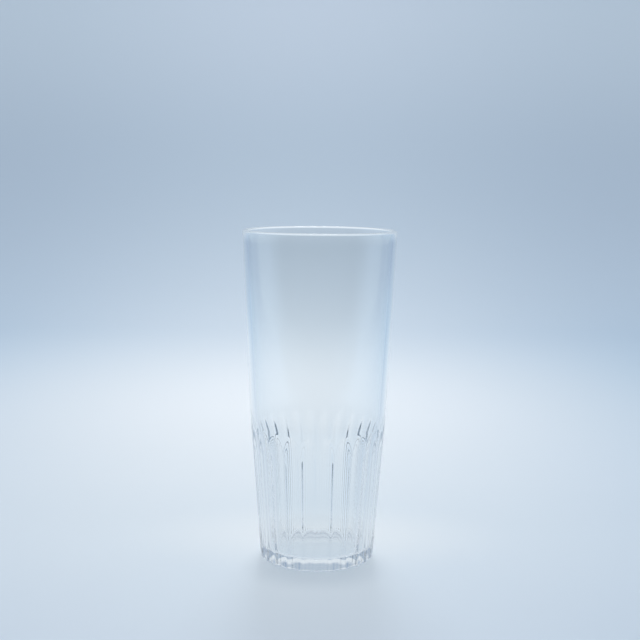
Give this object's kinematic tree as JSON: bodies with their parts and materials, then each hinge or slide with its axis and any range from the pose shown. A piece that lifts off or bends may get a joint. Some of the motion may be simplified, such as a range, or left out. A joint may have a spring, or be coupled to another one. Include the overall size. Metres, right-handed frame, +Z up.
{
  "type": "glass tumbler",
  "caption": "Tall clear drinking glass with a plain flared upper wall and arched concave flutes round the lower wall, standing on a flat ring.",
  "frame": {"origin": "middle of the foot, on the plane the glass stands on", "axes": "+Z up along the axis of the glass, towards the rim; -Y faces the picture's viewer, with a ridge between two flutes on that side"},
  "size_m": [0.068, 0.068, 0.147],
  "materials": {
    "clear_glass": "clear, fire-polished"
  },
  "bodies": {
    "root": {"tumbler": "clear_glass"}
  },
  "joints": []
}
